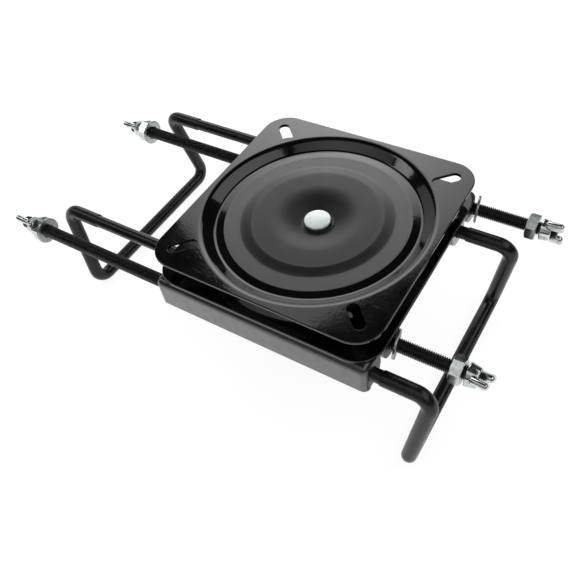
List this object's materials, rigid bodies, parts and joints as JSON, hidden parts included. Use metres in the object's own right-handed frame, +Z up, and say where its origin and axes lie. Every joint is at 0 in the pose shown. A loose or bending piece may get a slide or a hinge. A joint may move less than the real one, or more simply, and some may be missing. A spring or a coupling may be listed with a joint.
{
  "type": "swivel seat base",
  "caption": "Clamp-on swivel seat base: a square ball-race turntable on pressed brackets, held to a bench by sliding threaded U-hooks with washers, hex nuts and wing nuts.",
  "frame": {"origin": "on the swivel axis, in the flat top face of the top plate", "axes": "+X along the hooks' arms to the right, +Y from front to back, +Z up"},
  "size_m": [0.3912, 0.194, 0.1145],
  "materials": {
    "black_paint": "satin gloss black enamel",
    "zinc_plate": "bright zinc plate",
    "ball_steel": "polished bearing steel",
    "cage_plastic": "moulded nylon"
  },
  "bodies": {
    "base": {"front_bracket": "black_paint", "rear_bracket": "black_paint", "bottom_plate": "black_paint", "plate_bolts": "black_paint", "plate_nuts": "black_paint", "centre_rivet": "zinc_plate", "thrust_washer": "cage_plastic", "right_front_washer": "zinc_plate", "right_rear_washer": "zinc_plate"},
    "turntable": {"top_plate": "black_paint"},
    "ball_ring": {"ball_cage": "cage_plastic", "bearing_balls": "ball_steel"},
    "left_clamp": {"left_hook": "black_paint"},
    "right_clamp": {"right_hook": "black_paint"},
    "right_front_nut": {"right_front_hex_nut": "zinc_plate"},
    "right_front_wing": {"right_front_wing_nut": "zinc_plate"},
    "right_rear_nut": {"right_rear_hex_nut": "zinc_plate"},
    "right_rear_wing": {"right_rear_wing_nut": "zinc_plate"},
    "left_front_nut": {"left_front_washer": "zinc_plate", "left_front_hex_nut": "zinc_plate"},
    "left_front_wing": {"left_front_wing_nut": "zinc_plate"},
    "left_rear_nut": {"left_rear_washer": "zinc_plate", "left_rear_hex_nut": "zinc_plate"},
    "left_rear_wing": {"left_rear_wing_nut": "zinc_plate"}
  },
  "joints": [
    {"name": "swivel", "type": "hinge", "parent": "base", "child": "turntable", "pos_m": [0, 0, 0], "axis": [0, 0, 1], "continuous": true},
    {"name": "ball_roll", "type": "hinge", "parent": "base", "child": "ball_ring", "pos_m": [0, 0, 0], "axis": [0, 0, 1], "continuous": true},
    {"name": "left_hook_slide", "type": "slide", "parent": "base", "child": "left_clamp", "axis": [1, 0, 0], "range_m": [-0.018, 0.091]},
    {"name": "right_hook_slide", "type": "slide", "parent": "base", "child": "right_clamp", "axis": [-1, 0, 0], "range_m": [-0.062, 0.006]},
    {"name": "right_front_nut_run", "type": "slide", "parent": "left_clamp", "child": "right_front_nut", "axis": [-1, 0, 0], "range_m": [-0.004, 0.016]},
    {"name": "right_front_wing_turn", "type": "hinge", "parent": "right_front_nut", "child": "right_front_wing", "pos_m": [0.138, -0.05551, -0.034], "axis": [1, 0, 0], "continuous": true},
    {"name": "right_rear_nut_run", "type": "slide", "parent": "left_clamp", "child": "right_rear_nut", "axis": [-1, 0, 0], "range_m": [-0.004, 0.016]},
    {"name": "right_rear_wing_turn", "type": "hinge", "parent": "right_rear_nut", "child": "right_rear_wing", "pos_m": [0.138, 0.08251, -0.034], "axis": [1, 0, 0], "continuous": true},
    {"name": "left_front_nut_run", "type": "slide", "parent": "right_clamp", "child": "left_front_nut", "axis": [1, 0, 0], "range_m": [-0.004, 0.06]},
    {"name": "left_front_wing_turn", "type": "hinge", "parent": "left_front_nut", "child": "left_front_wing", "pos_m": [-0.2192, -0.08251, -0.034], "axis": [-1, 0, 0], "continuous": true},
    {"name": "left_rear_nut_run", "type": "slide", "parent": "right_clamp", "child": "left_rear_nut", "axis": [1, 0, 0], "range_m": [-0.004, 0.06]},
    {"name": "left_rear_wing_turn", "type": "hinge", "parent": "left_rear_nut", "child": "left_rear_wing", "pos_m": [-0.2212, 0.05551, -0.034], "axis": [-1, 0, 0], "continuous": true}
  ],
  "couplings": [
    {"joint": "ball_roll", "follows": "swivel", "ratio": 0.5}
  ]
}
